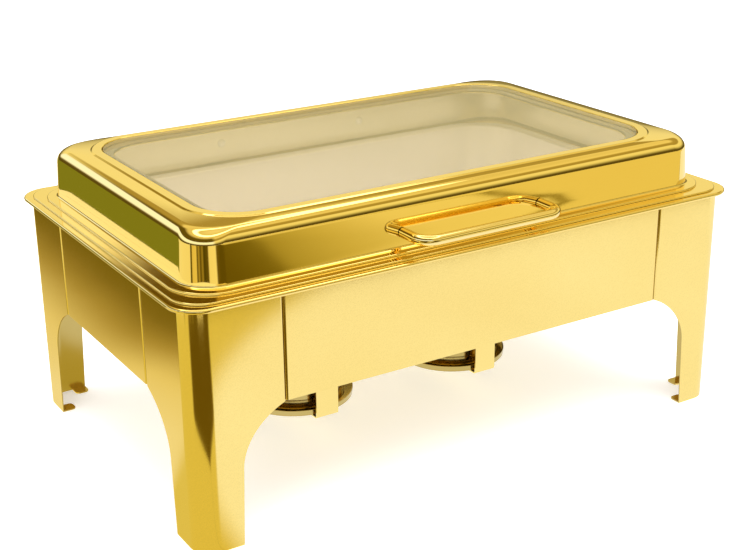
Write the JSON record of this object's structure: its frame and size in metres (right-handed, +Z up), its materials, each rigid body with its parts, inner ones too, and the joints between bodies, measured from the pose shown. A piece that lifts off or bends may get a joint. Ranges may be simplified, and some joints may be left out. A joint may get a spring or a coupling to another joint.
{
  "type": "chafing dish",
  "caption": "Rectangular chafing dish with a hinged windowed lid, a serving pan hung in a water pan, a panelled leg frame and fuel cups held below on straps.",
  "frame": {"origin": "centre of the bounding box on the table plane, under the middle of the dish", "axes": "+X runs along the long side to the right as seen from the handle, -Y is the handle side, +Z is up"},
  "size_m": [0.5978, 0.4006, 0.2775],
  "materials": {
    "burner_strap_left": "satin",
    "burner_strap_right": "satin",
    "burner_tray_left": "satin",
    "burner_tray_right": "satin",
    "cup_cap_left": "satin",
    "cup_cap_right": "satin",
    "damper_rivet_left": "satin",
    "damper_rivet_right": "satin",
    "flame_damper_left": "satin",
    "flame_damper_right": "satin",
    "food_pan": "satin",
    "frame_rim": "polished",
    "fuel_cup_left": "satin",
    "fuel_cup_right": "satin",
    "glass_gasket": "matt",
    "glass_pane": "clear",
    "handle_screw_left": "satin",
    "handle_screw_right": "satin",
    "handle_washer_left": "satin",
    "handle_washer_right": "satin",
    "hinge_lid_leaf_left": "polished",
    "hinge_lid_leaf_right": "polished",
    "hinge_lid_rivet_left": "satin",
    "hinge_lid_rivet_right": "satin",
    "hinge_pan_leaf_left": "polished",
    "hinge_pan_leaf_right": "polished",
    "hinge_pin_left": "satin",
    "hinge_pin_right": "satin",
    "leg_front_left": "satin",
    "leg_front_right": "satin",
    "leg_rear_left": "satin",
    "leg_rear_right": "satin",
    "lid_handle": "polished",
    "lid_shell": "polished",
    "pan_leaf_rivet_left_inner": "polished",
    "pan_leaf_rivet_left_outer": "polished",
    "pan_leaf_rivet_right_inner": "polished",
    "pan_leaf_rivet_right_outer": "polished",
    "panel_front": "satin",
    "panel_left": "satin",
    "panel_rear": "satin",
    "panel_right": "satin",
    "water_pan": "polished"
  },
  "bodies": {
    "frame": {"panel_front": "panel_front", "leg_front_left": "leg_front_left", "leg_front_right": "leg_front_right", "panel_rear": "panel_rear", "leg_rear_left": "leg_rear_left", "leg_rear_right": "leg_rear_right", "panel_left": "panel_left", "panel_right": "panel_right", "frame_rim": "frame_rim", "burner_strap_left": "burner_strap_left", "burner_tray_left": "burner_tray_left", "burner_strap_right": "burner_strap_right", "burner_tray_right": "burner_tray_right"},
    "water_pan": {"water_pan": "water_pan", "hinge_pan_leaf_left": "hinge_pan_leaf_left", "hinge_pin_left": "hinge_pin_left", "pan_leaf_rivet_left_inner": "pan_leaf_rivet_left_inner", "pan_leaf_rivet_left_outer": "pan_leaf_rivet_left_outer", "hinge_pan_leaf_right": "hinge_pan_leaf_right", "hinge_pin_right": "hinge_pin_right", "pan_leaf_rivet_right_inner": "pan_leaf_rivet_right_inner", "pan_leaf_rivet_right_outer": "pan_leaf_rivet_right_outer"},
    "food_pan": {"food_pan": "food_pan"},
    "lid": {"lid_shell": "lid_shell", "glass_pane": "glass_pane", "glass_gasket": "glass_gasket", "lid_handle": "lid_handle", "handle_screw_left": "handle_screw_left", "handle_washer_left": "handle_washer_left", "hinge_lid_leaf_left": "hinge_lid_leaf_left", "hinge_lid_rivet_left": "hinge_lid_rivet_left", "handle_screw_right": "handle_screw_right", "handle_washer_right": "handle_washer_right", "hinge_lid_leaf_right": "hinge_lid_leaf_right", "hinge_lid_rivet_right": "hinge_lid_rivet_right"},
    "fuel_cup_left": {"fuel_cup_left": "fuel_cup_left", "cup_cap_left": "cup_cap_left", "damper_rivet_left": "damper_rivet_left"},
    "damper_left": {"flame_damper_left": "flame_damper_left"},
    "fuel_cup_right": {"fuel_cup_right": "fuel_cup_right", "cup_cap_right": "cup_cap_right", "damper_rivet_right": "damper_rivet_right"},
    "damper_right": {"flame_damper_right": "flame_damper_right"}
  },
  "joints": [
    {"name": "water_pan_lift", "type": "slide", "parent": "frame", "child": "water_pan", "axis": [0, 0, 1], "range_m": [0, 0.11]},
    {"name": "lid_hinge", "type": "hinge", "parent": "water_pan", "child": "lid", "pos_m": [0, 0.19453, 0.232], "axis": [-1, 0, 0], "range_deg": [0, 95]},
    {"name": "food_pan_lift", "type": "slide", "parent": "water_pan", "child": "food_pan", "axis": [0, 0, 1], "range_m": [0, 0.035]},
    {"name": "fuel_cup_left_lift", "type": "slide", "parent": "frame", "child": "fuel_cup_left", "axis": [0, 0, 1], "range_m": [0, 0.04]},
    {"name": "damper_left_swivel", "type": "hinge", "parent": "fuel_cup_left", "child": "damper_left", "pos_m": [-0.0945, 0.04043, 0.081], "axis": [0, 0, 1], "range_deg": [0, 90]},
    {"name": "fuel_cup_right_lift", "type": "slide", "parent": "frame", "child": "fuel_cup_right", "axis": [0, 0, 1], "range_m": [0, 0.04]},
    {"name": "damper_right_swivel", "type": "hinge", "parent": "fuel_cup_right", "child": "damper_right", "pos_m": [0.0945, 0.04043, 0.081], "axis": [0, 0, 1], "range_deg": [0, 90]}
  ]
}
